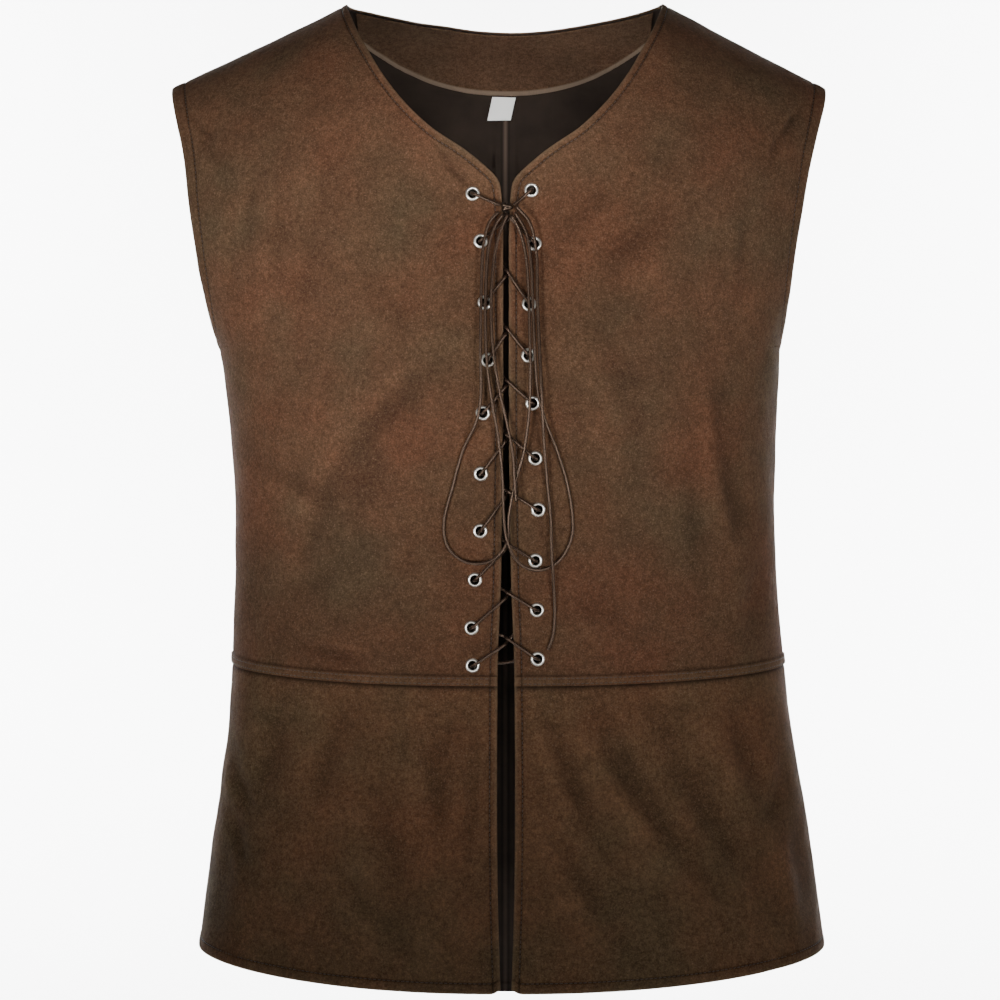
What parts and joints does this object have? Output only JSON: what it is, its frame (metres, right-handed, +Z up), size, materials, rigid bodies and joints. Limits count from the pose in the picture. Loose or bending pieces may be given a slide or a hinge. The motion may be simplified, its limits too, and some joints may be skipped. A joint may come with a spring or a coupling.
{
  "type": "renaissance vest",
  "caption": "Sleeveless laced jerkin of brown suede-like cloth, filled out as worn, with a waist seam, flared skirt panels and a bow-tied front lace.",
  "frame": {"origin": "midway between the neck ends of the two shoulder seams, where the wearer's shoulders hold the garment", "axes": "+Z up, along the wearer's height; the front faces -Y; +X towards the wearer's left"},
  "size_m": [0.4625, 0.2743, 0.7271],
  "materials": {
    "suede_cloth": "napped suede cloth, matt, mottled brown",
    "eyelet_metal": "bright nickel-plated eyelets",
    "lace_cord": "dark brown waxed round lace",
    "label_cloth": "plain white woven label, bare"
  },
  "bodies": {
    "root": {"front_bodice_right": "suede_cloth", "back_bodice_right": "suede_cloth", "front_skirt_right": "suede_cloth", "back_skirt_right": "suede_cloth", "eyelet_right_01": "eyelet_metal", "eyelet_right_02": "eyelet_metal", "eyelet_right_03": "eyelet_metal", "eyelet_right_04": "eyelet_metal", "eyelet_right_05": "eyelet_metal", "eyelet_right_06": "eyelet_metal", "eyelet_right_07": "eyelet_metal", "eyelet_right_08": "eyelet_metal", "eyelet_right_09": "eyelet_metal", "eyelet_right_10": "eyelet_metal", "front_bodice_left": "suede_cloth", "back_bodice_left": "suede_cloth", "front_skirt_left": "suede_cloth", "back_skirt_left": "suede_cloth", "eyelet_left_01": "eyelet_metal", "eyelet_left_02": "eyelet_metal", "eyelet_left_03": "eyelet_metal", "eyelet_left_04": "eyelet_metal", "eyelet_left_05": "eyelet_metal", "eyelet_left_06": "eyelet_metal", "eyelet_left_07": "eyelet_metal", "eyelet_left_08": "eyelet_metal", "eyelet_left_09": "eyelet_metal", "eyelet_left_10": "eyelet_metal", "back_neck_facing": "suede_cloth", "neck_label": "label_cloth", "lacing": "lace_cord", "lace_knot": "lace_cord", "lace_loop_right": "lace_cord", "lace_loop_left": "lace_cord", "lace_end_right": "lace_cord", "lace_end_left": "lace_cord"}
  },
  "joints": []
}
